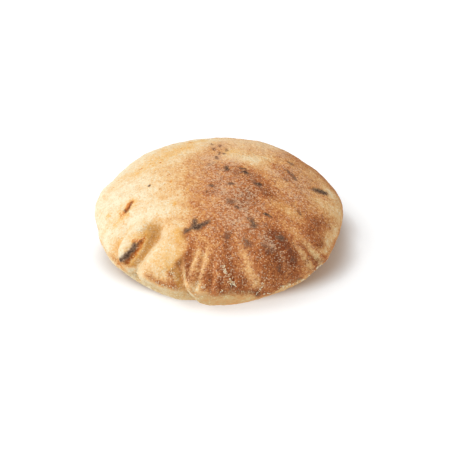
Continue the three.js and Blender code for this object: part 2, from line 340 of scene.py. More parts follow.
# Semolina that clings together.
CRUMB_RIM = strokes(
    (3, -22, 5.5, -18, 0.8, 1), (5.5, -18, 11, -10.5, 0.9, 1), (8, -10.5, 12, -7, 1.3, 1),
    (-17, -9.5, -12, -7.5, 1.5, 1), (-17, -7, -16.5, 0, 0.8, 0.9), (29.5, 13, 33, -2.5, 1, 0.8),
    (33, -2.5, 35.5, -9.5, 0.9, 0.8), (-37.5, -15, -36.5, -13.5, 1.2, 0.9),
    (-46, -2, -40, -1, 1.8, 0.35), (1, -2.5, 1.5, -2.5, 0.8, 0.8), (3, 9, 3.5, 9.5, 0.8, 0.8),
)
# Torn edges with loose flakes.
TORN_RIM = strokes(
    (36, 20, 50, 20, 3, 0.5), (50, 14, 66, 16, 3, 1), (66, 16, 98, 12, 2.6, 0.8),
    (-78, 5, -62, 4, 2.2, 0.8),
)
# Burns and clinging semolina have ragged edges, moved about by waves this long and this high.
MARK_WAVE, MARK_STRAY = 3.2, 0.3
# The side turns into the browned sole between these polar angles.
SOLE_FADE = (150, 176)

# The crust's mesh: its point spacing in millimetres at these polar angles, the fewest points in a ring, and
# the steps that its profile is measured in.
SPACING_POLARS = (CROWN, 122, 146, BASE_EDGE, BASE_MIDDLE)
SPACING = (0.74, 0.74, 1.8, 3.5, 9)
FEWEST_POINTS = 6
PROFILE_STEPS = 20000

# Widths of the skin's unevenness, in metres. It comes in over LIFT above the base, which stays flat.
SLOW_WAVE, MIDDLE_WAVE, FINE_WAVE = 0.022, 0.006, 0.0019
LIFT = 0.006

# Widths of the skin's speckle, in metres, and the height of its bumps.
MOTTLE_SIZE, PATCH_SIZE, GRAIN_SIZE, DUST_SIZE = 0.011, 0.0036, 0.0012, 0.0016
FRECKLE_SIZE, SPECK_SIZE, CRUMB_PATCH = 0.002, 0.0011, 0.003
BUMP_HEIGHT = 0.0004

# The least and most that a loose grain is turned, in radians, and stretched.
GRAIN_TURNS = ((0, 0, 0), (math.tau, math.tau, math.tau))
GRAIN_SPREADS = ((0.45, 0.45, 0.4), (1.4, 1.0, 0.8))

# The photograph's frame: its width in pixels, how many of them a metre takes at the loaf, and the pixel
# where the loaf's middle lands.
FRAME_WIDTH = 452
PIXELS_PER_METRE = 1222
LOAF_MIDDLE = Vector((0, 0, 0.025))
LOAF_PIXEL = (219.2, 213.2)
SENSOR_WIDTH = 36

# The places that the lights shine from, in metres, and how many degrees wide they look.
KEY_PLACE, KEY_SPREAD = (-0.72, -0.08, 0.8), 40
TOP_PLACE, TOP_SPREAD = (0.5, -0.4, 1.0), 100

# The floor's reach in metres, and the width and darkest share of its unevenness.
FLOOR_REACH = 3.0
FLOOR_WAVE, FLOOR_DARKEST = 0.4, 0.99
# The floor's glow is dimmed and warmed into a painted shadow of the loaf: two ovals that lie forward and
# to the right. Each has a stretch, a shift, and the distances from its middle where the glow begins to rise
# and is full.
SHADE_GLOW = (0.2, 0.1, 0.04)
FRONT_SHADE = ((1, 1.8, 1), (-0.005, 0.04, 0), 0.088, 0.115)
RIGHT_SHADE = ((1, 1.6, 1), (-0.01, -0.016, 0), 0.088, 0.112)


def rgb(red, green, blue):
    """A colour given in 0 to 255 as seen on screen, in the linear values that shaders take."""
    shares = np.array([red, green, blue]) / 255
    linear = np.where(shares <= 0.04045, shares / 12.92, ((shares + 0.055) / 1.055) ** 2.4)
    return tuple(float(value) for value in linear)


def color_setting(name, description, *screen):
    return FloatVectorProperty(name=name, description=description, subtype="COLOR", default=rgb(*screen))


def number_setting(name, description, value):
    return FloatProperty(name=name, description=description, default=value)


def length_setting(name, description, metres):
    return FloatProperty(name=name, description=description, unit="LENGTH", default=metres)


class LoafSettings(bpy.types.PropertyGroup):
    """Sizes of the loaf."""

    rim_radius: length_setting("Rim radius", "Radius of the widest rim", 0.099)
    rim_height: length_setting("Rim height", "Height of the widest rim", 0.024)
    height: length_setting("Height", "Height of the crown", LOAF_TOP)
    tuck: length_setting("Tuck", "How far the underside draws in to the base", 0.025)
    shoulder: number_setting("Shoulder", "1 is half an ellipse, more has lower shoulders", 1.16)
    oval: length_setting("Oval", "How far the rim is out of round", 0.0008)
    oval_bearing: number_setting("Oval bearing", "Where round the loaf it is longest, in degrees", 116)


class CrustSettings(bpy.types.PropertyGroup):
    """Colours and fine relief of the crust."""

    pale: color_setting("Pale", "Dough that took no colour", 237, 225, 193)
    golden: color_setting("Golden", "Lightly baked skin", 230, 189, 134)
    tan: color_setting("Tan", "Skin between golden and brown", 214, 156, 97)
    brown: color_setting("Brown", "Well baked skin", 182, 111, 63)
    toasted: color_setting("Toasted", "Darkest red-brown patches", 120, 60, 30)
    gold: color_setting("Gold", "Warm patches and the rings round scorches", 231, 178, 98)
    amber: color_setting("Amber", "Orange freckles and the skin next to a scorch", 202, 108, 32)
    singed: color_setting("Singed", "Burnt spots", 116, 89, 70)
    char: color_setting("Char", "Deepest burns", 60, 41, 30)
    # Honey is partly the skin's golden colour and partly painted shade down in the folds.
    honey: color_setting("Honey", "Skin down in the folds", 188, 132, 60)
    side: color_setting("Side", "Pale side under the rim", 216, 184, 132)
    flour: color_setting("Flour", "Flour and semolina", 234, 204, 168)
    wobble: length_setting("Wobble", "Height of the skin's slow unevenness", 0.0005)
    grain: length_setting("Grain", "Height of the skin's fine grain", 0.00035)
    blister: length_setting("Blister", "How far a burnt spot is raised", 0.0005)
    seed: IntProperty(name="Seed", description="Changes the unevenness", default=4)


class FlourSettings(bpy.types.PropertyGroup):
    """Flour, semolina and crumbs that lie on the crust."""

    dust_density: number_setting("Dust density", "Grains of flour for each square metre", 240000)
    dust_size: length_setting("Dust size", "Width of a middling grain of flour", 0.0005)
    crumb_density: number_setting("Crumb density", "Clinging crumbs for each square metre", 1500000)
    crumb_size: length_setting("Crumb size", "Width of a middling crumb", 0.0011)
    flake_density: number_setting("Flake density", "Torn flakes for each square metre of torn edge", 220000)
    flake_size: length_setting("Flake size", "Width of a middling flake", 0.0021)
    seed: IntProperty(name="Seed", description="Changes where the grains lie", default=7)


class StageSettings(bpy.types.PropertyGroup):
    """Floor, lights and camera."""

    floor: FloatVectorProperty(
        name="Floor", description="Colour of the floor", subtype="COLOR", default=(0.5, 0.5, 0.5))
    glow: number_setting("Glow", "How strongly the floor is lit from beneath", 0.56)
    key: number_setting("Key", "Strength of the light from the left", 2.5)
    top: number_setting("Top", "Strength of the soft light from above", 1.0)
    fill: number_setting("Fill", "Strength of the light from all round", 0.29)
    elevation: FloatProperty(
        name="Elevation", description="Camera's angle above the floor", subtype="ANGLE",
        default=math.radians(36))
    distance: length_setting("Distance", "Camera's distance from the loaf", 0.9)


class PucciaSettings(bpy.types.PropertyGroup):
    """Everything about the puccia that a user would change."""

    loaf: PointerProperty(type=LoafSettings)
    crust: PointerProperty(type=CrustSettings)
    flour: PointerProperty(type=FlourSettings)
    stage: PointerProperty(type=StageSettings)


class Wire:
    """A node's output. Python's operators on it add the Math nodes that work the expression out."""

    def __init__(self, tree, socket=None):
        self.tree = tree
        self.socket = socket

    def node(self, kind, settings=None, sockets=None, output=0):
        """Adds a node of any kind: its settings are set first, then its sockets get values or links."""
        added = self.tree.nodes.new(kind)
        for name, value in (settings or {}).items():
            if name == "stops":
                set_stops(added.color_ramp, value)
            else:
                setattr(added, name, value)
        self.feed(added, sockets or {})
        return Wire(self.tree, added.outputs[output]) if added.outputs else added

    def feed(self, node, sockets):
        """Gives a node's sockets their values or links, by name or number."""
        for name, value in sockets.items():
            if isinstance(value, Wire):
                self.tree.links.new(value.socket, node.inputs[name])
            else:
                node.inputs[name].default_value = value

    def math(self, operation, *operands):
        return self.node("ShaderNodeMath", {"operation": operation}, dict(enumerate(operands)))

    def __add__(self, other):
        return self.math("ADD", self, other)

    def __sub__(self, other):
        return self.math("SUBTRACT", self, other)

    def __rsub__(self, other):
        return self.math("SUBTRACT", other, self)

    def __mul__(self, other):
        return self.math("MULTIPLY", self, other)

    __radd__ = __add__
    __rmul__ = __mul__

    def smooth(self, low, high):
        """0 below low, 1 above high, and an even curve between them."""
        return self.node("ShaderNodeMapRange", {"interpolation_type": "SMOOTHSTEP"},
                         {"Value": self, "From Min": low, "From Max": high})

    def toward(self, color, share):
        """This colour, mixed with another by a share from 0 to 1."""
        other = color if isinstance(color, Wire) else (*color, 1)
        return self.node("ShaderNodeMix", {"data_type": "RGBA"}, {0: share, 6: self, 7: other}, output=2)

    def ramp(self, *stops):
        """The colour at this value on a ramp with these stops, each a place and a colour."""
        return self.node("ShaderNodeValToRGB", {"stops": stops}, {"Fac": self})

    def scaled(self, share):
        """This vector, made longer by a share."""
        return self.node("ShaderNodeVectorMath", {"operation": "SCALE"}, {"Vector": self, "Scale": share})

    def ripple(self, size, detail=2.0, roughness=0.5, turn=0.0):
        """Cloudy noise with features of this size at these places, about -1 to 1."""
        noise = self.node("ShaderNodeTexNoise", {"noise_dimensions": "4D"}, {
            "Vector": self, "W": turn, "Scale": 1 / size, "Detail": detail, "Roughness": roughness})
        return 4.0 * (noise - 0.5)

    def grains(self, size):
        """Round grains of about this size at these places, each -1 to 1 by chance, with 0 between them."""
        cells = self.node("ShaderNodeTexVoronoi", {"feature": "F1"}, {
            "Vector": self, "Scale": 1 / size}, output="Color")
        away = Wire(self.tree, cells.socket.node.outputs["Distance"])
        chance = self.node("ShaderNodeSeparateColor", None, {"Color": cells})
        return (2.0 * chance - 1.0) * (1 - away.smooth(0.25, 0.75))


def set_stops(ramp, stops):
    """Gives a color ramp these stops, each a place and a colour."""
    while len(ramp.elements) < len(stops):
        ramp.elements.new(1)
    for element, (place, color) in zip(ramp.elements, stops):
        element.position = place
        element.color = (*color, 1)


def bell(x):
    return np.exp(-x * x)


def smoothstep(x, low, high):
    share = np.clip((x - low) / (high - low), 0, 1)
    return share * share * (3 - 2 * share)


def turn_between(start, end):
    return (end - start + 180) % 360 - 180


def unevenness(n):
    """A value from -1 to 1 that has no plain order."""
    return math.sin(2.4 * n + 1.3) * math.cos(1.7 * n)


def all_folds():
    """The front folds, and the shallower ones round the back."""
    folds = list(FRONT_FOLDS)
    for n in range(BACK_COUNT):
        even = BACK_FIRST + (BACK_LAST - BACK_FIRST) * n / (BACK_COUNT - 1)
        folds.append(BACK_FOLD._replace(
            bearing=even + BACK_SCATTER * unevenness(n),
            lean=BACK_SCATTER * unevenness(n + BACK_COUNT),
            depth=BACK_FOLD.depth * (1 + 0.5 * unevenness(n + 2 * BACK_COUNT))))
    return folds


def profile(loaf, bearing, polar):
    """The smooth loaf at each place: its radius and height, and how far out and up its skin faces."""
    rim = loaf.rim_radius + loaf.oval * np.cos(2 * np.radians(bearing - loaf.oval_bearing))
    angle = np.radians(np.minimum(polar, BASE_EDGE))
    sine, cosine = np.sin(angle), np.cos(angle)
    upright = np.maximum(cosine, NEAR_ZERO)
    fall = upright ** loaf.shoulder
    dome = loaf.height - loaf.rim_height
    above = polar <= RIM
    inward = np.clip((polar - BASE_EDGE) / (BASE_MIDDLE - BASE_EDGE), 0, 1)
    radius = np.where(above, rim * sine, (rim - loaf.tuck * (1 - sine)) * (1 - inward))
    height = np.where(above, loaf.rim_height + dome * fall, loaf.rim_height * (1 + cosine))
    out = np.where(above, loaf.shoulder * dome * sine * fall / upright, loaf.rim_height * sine)
    up = np.where(above, rim * cosine, loaf.tuck * cosine)
    length = np.hypot(out, up)
    return radius, height, out / length, up / length


def fold_reach(fold, loaf, bearing, polar):
    """How far right of a crease each place lies, in millimetres, and how much of the fold is there."""
    rise = smoothstep(polar, fold.start, fold.start + FOLD_RISE)
    fade = 1 - smoothstep(polar, fold.end - FOLD_FADE, fold.end)
    crease = fold.bearing + fold.lean * (RIM - polar) / LEAN_SPAN
    ring = loaf.rim_radius / MM * np.sin(np.radians(polar))
    return np.radians(turn_between(crease, bearing)) * ring, rise * fade


def fold_relief(fold, loaf, bearing, polar):
    across, share = fold_reach(fold, loaf, bearing, polar)
    wall = np.abs(across) / np.where(across < 0, fold.left, fold.right)
    cut = np.exp(CREASE_ROUND - np.hypot(wall, CREASE_ROUND))
    puff = PUFF_SHARE * bell(across / (PUFF_SPREAD * (fold.left + fold.right)))
    return fold.depth * share * (puff - cut)


def swell_relief(swell, loaf, bearing, polar):
    rim = loaf.rim_radius / MM
    across = np.radians(turn_between(swell.bearing, bearing)) * rim * np.sin(np.radians(polar))
    down = np.radians(polar - swell.polar) * rim
    return swell.height * bell(np.hypot(across / swell.width, down / swell.length))


def below_skin(bearing, polar):
    """How far below the browned skin's edge each place lies, in degrees of polar angle."""
    return polar - np.interp(bearing, SKIN_BEARINGS, SKIN_ENDS)


def lip_relief(bearing, polar):
    """The pale side lies a little in from the browned skin that ends above it."""
    below = below_skin(bearing, polar)
    return -SKIN_LIP * smoothstep(below, -LIP_EDGE, LIP_EDGE) * (1 - smoothstep(below, *LIP_FADE))


def crust_points(loaf, bearing, polar):
    """The crust's points at these places."""
    radius, height, out, up = profile(loaf, bearing, polar)
    relief = lip_relief(bearing, polar)
    for fold in all_folds():
        relief = relief + fold_relief(fold, loaf, bearing, polar)
    for swell in SWELLS:
        relief = relief + swell_relief(swell, loaf, bearing, polar)
    relief = np.where(polar < BASE_EDGE, relief, 0) * MM
    reach = radius + out * relief
    turn = np.radians(bearing)
    return np.stack([reach * np.sin(turn), -reach * np.cos(turn), np.maximum(height + up * relief, 0)], -1)


def crust_rings(loaf):
    """Rings of points from the crown to the middle of the base: their polar angles and their counts."""
    fine = np.linspace(CROWN, BASE_MIDDLE, PROFILE_STEPS + 1)
    radius, height, _, _ = profile(loaf, 0 * fine, fine)
    spacing = np.interp(fine, SPACING_POLARS, SPACING) * MM
    steps = np.hypot(np.diff(radius), np.diff(height)) / spacing[1:]
    passed = np.concatenate([[0], np.cumsum(steps)])
    count = round(passed[-1])
    polars = np.interp(np.linspace(0, passed[-1], count + 1), passed, fine)
    around = 2 * math.pi * np.interp(polars, fine, radius) / np.interp(polars, fine, spacing)
    counts = np.maximum(np.round(around), FEWEST_POINTS).astype(int)
    counts[[0, -1]] = 1
    return polars, counts


def ring_triangles(upper, lower):
    """Triangles between two rings of points, each given as its first index and its count.

    Every side of a ring makes one, with the other ring's point that is nearest to the side's middle.
    """
    (top, n), (bottom, m) = upper, lower
    i, j = np.arange(n), np.arange(m)
    below = -((n - (2 * i + 1) * m) // (2 * n)) % m
    above = ((2 * j + 1) * n + m) // (2 * m) % n
    hanging = np.stack([top + i, bottom + below, top + (i + 1) % n], -1)
    standing = np.stack([top + above, bottom + j, bottom + (j + 1) % m], -1)
    return np.concatenate([hanging if n > 1 else hanging[:0], standing if m > 1 else standing[:0]])


def crust_grid(loaf):
    """Bearings, polar angles and triangles of the whole crust, closed at the crown and under the base."""
    polars, counts = crust_rings(loaf)
    firsts = np.concatenate([[0], np.cumsum(counts)[:-1]])
    bearing = np.concatenate([360 * np.arange(count) / count - 180 for count in counts])
    rings = list(zip(firsts, counts))
    triangles = np.concatenate([ring_triangles(a, b) for a, b in zip(rings, rings[1:])])
    return bearing, np.repeat(polars, counts), triangles


def strayed(x, y):
    """Places moved about a little, so that what is drawn there gets a ragged edge."""
    u, v = x / MARK_WAVE, y / MARK_WAVE
    right = np.sin(u + 2.3 * v) + 0.7 * np.sin(2.7 * u - 1.6 * v + 2) + 0.5 * np.sin(4.1 * u + 4.9 * v + 1)
    back = np.sin(2.1 * u - v + 4) + 0.7 * np.sin(1.3 * u + 2.9 * v) + 0.5 * np.sin(5.3 * u - 3.7 * v + 3)
    return x + MARK_STRAY * right, y + MARK_STRAY * back


def stroke_share(stroke, x, y):
    """How far a stroke covers each place: 1 on it, fading out round it."""
    along = np.array([stroke.x1 - stroke.x0, stroke.y1 - stroke.y0])
    length = max(float(np.hypot(*along)), NEAR_ZERO)
    ux, uy = along / length
    dx, dy = x - stroke.x0, y - stroke.y0
    past = np.clip(dx * ux + dy * uy, 0, length)
    return bell(np.hypot(dx - past * ux, dy - past * uy) / stroke.width)


def stroke_field(marks, x, y):
    """How strongly the strongest of these strokes marks each place."""
    return np.max([mark.strength * stroke_share(mark, x, y) for mark in marks], axis=0)


def pale_and_lit_walls(loaf, bearing, polar):
    """How far each place lies on the wall right of a crease, partly unbaked dough, partly painted
    highlight.
    """
    pale = np.zeros_like(bearing)
    for fold in FRONT_FOLDS:
        across, share = fold_reach(fold, loaf, bearing, polar)
        share = share * smoothstep(fold.depth, SHALLOW_FOLD, DEEP_FOLD)
        width = max(fold.right, PALE_WIDTH)
        pale = np.maximum(pale, share * bell((across / width - PALE_MIDDLE) / PALE_SPREAD))
    return pale


def browning_field(x, y, along, over):
    """How well baked the skin is."""
    field = np.interp(x - BAKED_SLANT * np.maximum(y - BAKED_BEND, 0), BAKED_X, BAKED)
    for stroke in BROWN_STROKES:
        field = field + stroke.strength * stroke_share(stroke, x, y)
    for stroke in BROWN_RIM:
        field = field + stroke.strength * stroke_share(stroke, along, over)
    return np.clip(field, 0, MOST_BAKED)


def crust_attributes(loaf, bearing, polar, points):
    """What the crust's finish and flour read at each point, by name."""
    x, y = points[:, 0] / MM, points[:, 1] / MM
    along, over = np.radians(bearing) * loaf.rim_radius / MM, (polar - RIM) * RIM_FALL
    loose, loose_rim = strayed(x, y), strayed(along, over)
    top = 1 - smoothstep(polar, *TOP_FADE)
    return {
        "browning": browning_field(x, y, along, over),
        "char": np.maximum(stroke_field(CHAR_STROKES, *loose) * top, stroke_field(CHAR_RIM, *loose_rim)),
        "toast": np.maximum(stroke_field(TOAST_STROKES, x, y) * top, stroke_field(TOAST_RIM, along, over)),
        "amber": np.maximum(stroke_field(AMBER_STROKES, x, y) * top, stroke_field(AMBER_RIM, along, over)),
        "dusting": (DUSTING + stroke_field(FLOUR_STROKES, x, y)) * top,
        "crumbs": stroke_field(CRUMB_RIM, *loose_rim),
        "torn": stroke_field(TORN_RIM, along, over),
        # Pale walls right of the creases: partly unbaked dough, partly a painted highlight on the lit wall.
        "pale": pale_and_lit_walls(loaf, bearing, polar),
        # Honey strokes: partly golden skin, partly painted shade in the hollow and the folds.
        "honey": stroke_field(HONEY_SHADE_RIM, along, over),
        "below": below_skin(bearing, polar),
        "under": smoothstep(polar, *SOLE_FADE),
    }


def linked(name, data):
    thing = bpy.data.objects.new(name, data)
    bpy.context.scene.collection.objects.link(thing)
    return thing


def new_piece(name, mesh):
    """An object of this mesh, shaded smooth and riding on the loaf's body."""
    piece = linked(name, mesh)
    mesh.shade_smooth()
    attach(piece, CAD_BODY)
    return piece


def new_tree(name, inputs):
    """A geometry node tree with these named inputs after its geometry, and a wire for each of them."""
    tree = bpy.data.node_groups.new(name, "GeometryNodeTree")
    tree.interface.new_socket(name="Geometry", in_out="OUTPUT", socket_type="NodeSocketGeometry")
    tree.interface.new_socket(name="Geometry", in_out="INPUT", socket_type="NodeSocketGeometry")
    for label, kind in inputs.items():
        tree.interface.new_socket(name=label, in_out="INPUT", socket_type="NodeSocket" + kind)
    entry = tree.nodes.new("NodeGroupInput")
    return tree, {socket.name: Wire(tree, socket) for socket in entry.outputs if socket.name}


def end_tree(geometry, material):
    """Ends a tree: its instances become mesh and get the material."""
    real = geometry.node("GeometryNodeRealizeInstances", None, {"Geometry": geometry})
    painted = real.node("GeometryNodeSetMaterial", None, {"Geometry": real, "Material": material})
    painted.node("NodeGroupOutput", None, {"Geometry": painted})


def grown_mesh(name, mesh, tree, values):
    """The mesh that a tree makes of another one, with these values on the tree's named inputs."""
    bed = linked(name, mesh)
    modifier = bed.modifiers.new(name, "NODES")
    modifier.node_group = tree
    for item in tree.interface.items_tree:
        if item.in_out == "INPUT" and item.name in values:
            modifier[item.identifier] = values[item.name]
    graph = bpy.context.evaluated_depsgraph_get()
    made = bpy.data.meshes.new_from_object(
        bed.evaluated_get(graph), preserve_all_data_layers=True, depsgraph=graph)
    bed.modifiers.remove(modifier)
    bpy.data.objects.remove(bed)
    if not made.polygons:
        raise RuntimeError(name + " came out empty")
    made.name = name
    return made


def relief_tree():
    """Moves the crust's skin in and out: slow unevenness, fine grain, and blisters at the burnt spots."""
    tree, entry = new_tree("Crust relief", {
        "Wobble": "Float", "Grain": "Float", "Blister": "Float", "Seed": "Float", "Material": "Material"})
    pen = Wire(tree)
    place = pen.node("GeometryNodeInputPosition")
    height = pen.node("ShaderNodeSeparateXYZ", None, {"Vector": place}, output="Z")
    lifted = height.smooth(0.0, LIFT)
    char = pen.node("GeometryNodeInputNamedAttribute", {"data_type": "FLOAT"}, {"Name": "char"})
    slow = place.ripple(SLOW_WAVE, 2.0, 0.5, entry["Seed"])
    middle = place.ripple(MIDDLE_WAVE, 2.0, 0.5, entry["Seed"] + 3.0)
    fine = place.ripple(FINE_WAVE, 1.0, 0.5, entry["Seed"] + 7.0)
    rough = 0.6 * fine + 0.6 * middle
    out = entry["Wobble"] * slow + entry["Grain"] * rough + entry["Blister"] * char * (0.5 + fine)
    offset = pen.node("GeometryNodeInputNormal").scaled(out * lifted)
    moved = pen.node("GeometryNodeSetPosition", None, {"Geometry": entry["Geometry"], "Offset": offset})
    end_tree(moved, entry["Material"])
    return tree


def scatter_tree():
    """Scatters grains over the crust, as thickly as a named attribute says."""
    tree, entry = new_tree("Grains", {
        "Where": "String", "Density": "Float", "Size": "Float", "Seed": "Int", "Material": "Material"})
    pen = Wire(tree)
    share = pen.node("GeometryNodeInputNamedAttribute", {"data_type": "FLOAT"}, {"Name": entry["Where"]})
    points = pen.node("GeometryNodeDistributePointsOnFaces", {"distribute_method": "RANDOM"}, {
        "Mesh": entry["Geometry"], "Density": entry["Density"] * share, "Seed": entry["Seed"]})
    grain = pen.node("GeometryNodeMeshIcoSphere", None, {"Radius": 0.5, "Subdivisions": 1})
    turn, spread = (
        pen.node("FunctionNodeRandomValue", {"data_type": "FLOAT_VECTOR"}, {
            "Min": least, "Max": most, "Seed": entry["Seed"]})
        for least, most in (GRAIN_TURNS, GRAIN_SPREADS))
    grains = pen.node("GeometryNodeInstanceOnPoints", None, {
        "Points": points, "Instance": grain, "Rotation": turn, "Scale": spread.scaled(entry["Size"])})
    end_tree(grains, entry["Material"])
    return tree


def finished_material(name, build):
    """A material whose shader gets the values and wires that build gives for its sockets."""
    material = bpy.data.materials.new(name)
    material.use_nodes = True
    pen = Wire(material.node_tree)
    pen.feed(material.node_tree.nodes["Principled BSDF"], build(pen))
    return material


def object_place(pen):
    return pen.node("ShaderNodeTexCoord", output="Object")


class CrustPaint:
    """The crust's finish in layers: baked skin, marks, flour, burns, the pale side and the sole."""

    def __init__(self, pen, colors):
        self.pen = pen
        self.colors = colors
        self.place = object_place(pen)
        self.mottle = self.place.ripple(MOTTLE_SIZE, 3.0, 0.6)
        self.patch = self.place.ripple(PATCH_SIZE, 2.0, 0.6, 2.0)
        self.grain = 1.5 * self.place.grains(GRAIN_SIZE)
        self.dust = self.place.ripple(DUST_SIZE, 1.0, 0.5, 9.0)
        self.browning = self.attribute("browning")
        char = self.attribute("char")
        self.burn = char + char.smooth(0.05, 0.5) * self.speckle(0.14, 0.16)

    def attribute(self, name):
        return self.pen.node("ShaderNodeAttribute", {"attribute_name": name}, output="Fac")

    def speckle(self, patch, grain):
        """So much of the patches and of the grains."""
        return patch * self.patch + grain * self.grain

    def baked_color(self, tone):
        """The colour of skin that is baked this much."""
        colors = self.colors
        return (0.8 * tone).ramp(
            (0.0, colors.pale), (0.24, colors.golden), (0.4, colors.tan), (0.62, colors.brown),
            (1.0, colors.toasted))

    def baked_skin(self):
        """Skin as well baked as it should be, but for the pale walls of the folds, partly painted
        highlight.
        """
        # Pale walls: partly unbaked dough, partly a painted highlight where the wall faces the key light.
        pale = self.attribute("pale") * (1 - self.speckle(0.4, 0.25))
        fine = (0.45 + 0.55 * self.browning) * (self.speckle(0.21, 0.23) + 0.08 * self.dust)
        skin = self.baked_color(self.browning * (1 - 0.6 * pale) + 0.13 * self.mottle + fine)
        skin = skin.toward(self.colors.side, 0.8 * pale)
        return skin.toward(self.colors.pale, 0.8 * pale.smooth(0.9, 1.15))

    def with_marks(self, skin):
        """Adds honey valleys, partly painted shade in folds, amber freckles and rings, red-brown patches.
        """
        colors = self.colors
        # Honey paints the valleys darker, partly golden skin and partly painted shade in the folds.
        honey = self.attribute("honey") * (1 + self.speckle(0.25, 0.25))
        skin = skin.toward(colors.honey, 0.9 * honey.smooth(0.0, 0.95))
        freckles = self.place.grains(FRECKLE_SIZE).smooth(0.9, 0.95)
        freckles = 0.4 * freckles * (1 - self.browning.smooth(0.25, 0.55))
        amber = self.attribute("amber") * (1 + self.speckle(0.3, 0.3)) + freckles
        skin = skin.toward(colors.gold, 0.8 * amber.smooth(0.0, 0.6))
        skin = skin.toward(colors.amber, 0.85 * amber.smooth(0.45, 1.0))
        toast = self.attribute("toast") * (1 + 0.35 * self.mottle + self.speckle(0.3, 0.35))
        return skin.toward(colors.toasted, 0.8 * toast.smooth(0.0, 1.1))

    def with_flour(self, skin):
        """Adds specks of flour, thickest where the crust is dusted."""
        waves = self.place.ripple(DUST_SIZE, 1.0, 0.5, 5.0)
        specks = 0.75 * self.place.grains(SPECK_SIZE) + 0.15 * waves + 0.2 * self.patch
        floury = (specks + 0.8 * self.attribute("dusting")).smooth(0.25, 0.85)
        return skin.toward(self.colors.flour, 0.55 * floury)

    def with_burns(self, skin):
        """Adds burnt spots, darkest in the middle, with a little ash on them."""
        colors, burn = self.colors, self.burn
        skin = skin.toward(colors.toasted, 0.5 * burn.smooth(0.0, 0.5))
        skin = skin.toward(colors.singed, 0.9 * burn.smooth(0.15, 0.85))
        skin = skin.toward(colors.char, 0.8 * (burn + 0.25 * self.dust).smooth(0.6, 1.1))
        ash = burn.smooth(0.4, 0.9) * (self.grain - 0.4 * self.dust).smooth(0.5, 1.0)
        return skin.toward(colors.flour, 0.2 * ash)

    def with_side(self, skin):
        """Adds the pale side below the skin's ragged end, and the browned sole."""
        colors = self.colors
        bare = (self.attribute("below") + 6.0 * self.mottle + self.speckle(6.0, 5.0)).smooth(-12.0, 8.0)
        tone = 0.74 - 0.5 * self.browning + 0.26 * self.mottle + self.speckle(0.22, 0.2)
        side = tone.ramp((0.0, colors.tan), (0.5, colors.side), (1.0, colors.pale))
        sole = self.baked_color(0.62 + 0.4 * self.mottle + self.speckle(0.25, 0.25))
        return skin.toward(side, bare).toward(sole, self.attribute("under"))

    def sockets(self):
        skin = self.baked_skin()
        for layer in (self.with_marks, self.with_flour, self.with_burns, self.with_side):
            skin = layer(skin)
        height = self.grain + 0.7 * self.dust + 0.8 * self.patch
        bump = self.pen.node("ShaderNodeBump", None, {
            "Strength": 0.5, "Distance": BUMP_HEIGHT, "Height": height})
        return {"Base Color": skin, "Roughness": 0.85 - 0.15 * self.burn.smooth(0.3, 0.9),
                "Specular IOR Level": 0.12, "Normal": bump}


def crust_material(colors):
    """Browned, toasted and charred skin over pale dough, speckled and dusted with flour."""
    return finished_material("Crust", lambda pen: CrustPaint(pen, colors).sockets())


def flour_material(colors):
    """Dry cream-white grains, some darker than others."""

    def build(pen):
        tone = object_place(pen).ripple(DUST_SIZE, 1.0).smooth(-0.6, 0.6)
        grain = tone.ramp((0.0, colors.golden), (0.5, colors.flour), (1.0, colors.flour))
        return {"Base Color": grain, "Roughness": 0.95, "Specular IOR Level": 0.2}

    return finished_material("Flour", build)


def crumb_material(colors):
    """Pale yellow crumbs, some darker than others."""

    def build(pen):
        tone = object_place(pen).ripple(CRUMB_PATCH, 1.0).smooth(-0.8, 0.8)
        crumb = tone.ramp((0.0, colors.golden), (0.6, colors.pale), (1.0, colors.pale))
        return {"Base Color": crumb, "Roughness": 0.9, "Specular IOR Level": 0.2}

    return finished_material("Crumb", build)


def floor_material(color, glow):
    """A plain pale floor, faintly uneven, softly lit from beneath, with a painted shadow of the loaf."""

    def outside(place, stretch, shift, begin, full):
        spread = place.node("ShaderNodeVectorMath", {"operation": "MULTIPLY_ADD"}, {
            0: place, 1: stretch, 2: shift})
        reach = spread.node("ShaderNodeVectorMath", {"operation": "LENGTH"}, {0: spread}, output="Value")
        return reach.smooth(begin, full)

    def build(pen):
        place = object_place(pen)
        tone = place.ripple(FLOOR_WAVE, 1.0).smooth(-1.0, 1.0)
        tint = tone.ramp((0.0, [FLOOR_DARKEST * value for value in color]), (1.0, color))
        # Painted shadow of the loaf: inside two ovals the glow dims and warms.
        lit = outside(place, *FRONT_SHADE) * outside(place, *RIGHT_SHADE)
        light = lit.ramp((0.0, SHADE_GLOW), (1.0, (1, 1, 1)))
        return {"Base Color": tint, "Roughness": 0.8, "Specular IOR Level": 0.1,
                "Emission Color": light, "Emission Strength": glow}

    return finished_material("Floor", build)


class PUCCIA_OT_crust(bpy.types.Operator):
    """Make the loaf with its folds, skin and burnt spots"""

    bl_idname = "puccia.crust"
    bl_label = "Crust"

    def execute(self, context):
        loaf, skin = context.scene.puccia.loaf, context.scene.puccia.crust
        bearing, polar, triangles = crust_grid(loaf)
        points = crust_points(loaf, bearing, polar)
        mesh = bpy.data.meshes.new("crust")
        mesh.from_pydata(points, [], triangles)
        for name, values in crust_attributes(loaf, bearing, polar, points).items():
            mesh.attributes.new(name, "FLOAT", "POINT").data.foreach_set("value", values.astype(np.float32))
        crust = grown_mesh("crust", mesh, relief_tree(), {
            "Wobble": skin.wobble, "Grain": skin.grain, "Blister": skin.blister, "Seed": float(skin.seed),
            "Material": crust_material(skin)})
        piece = new_piece("crust", crust)
        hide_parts(CAD_NODE)
        return {"FINISHED"}


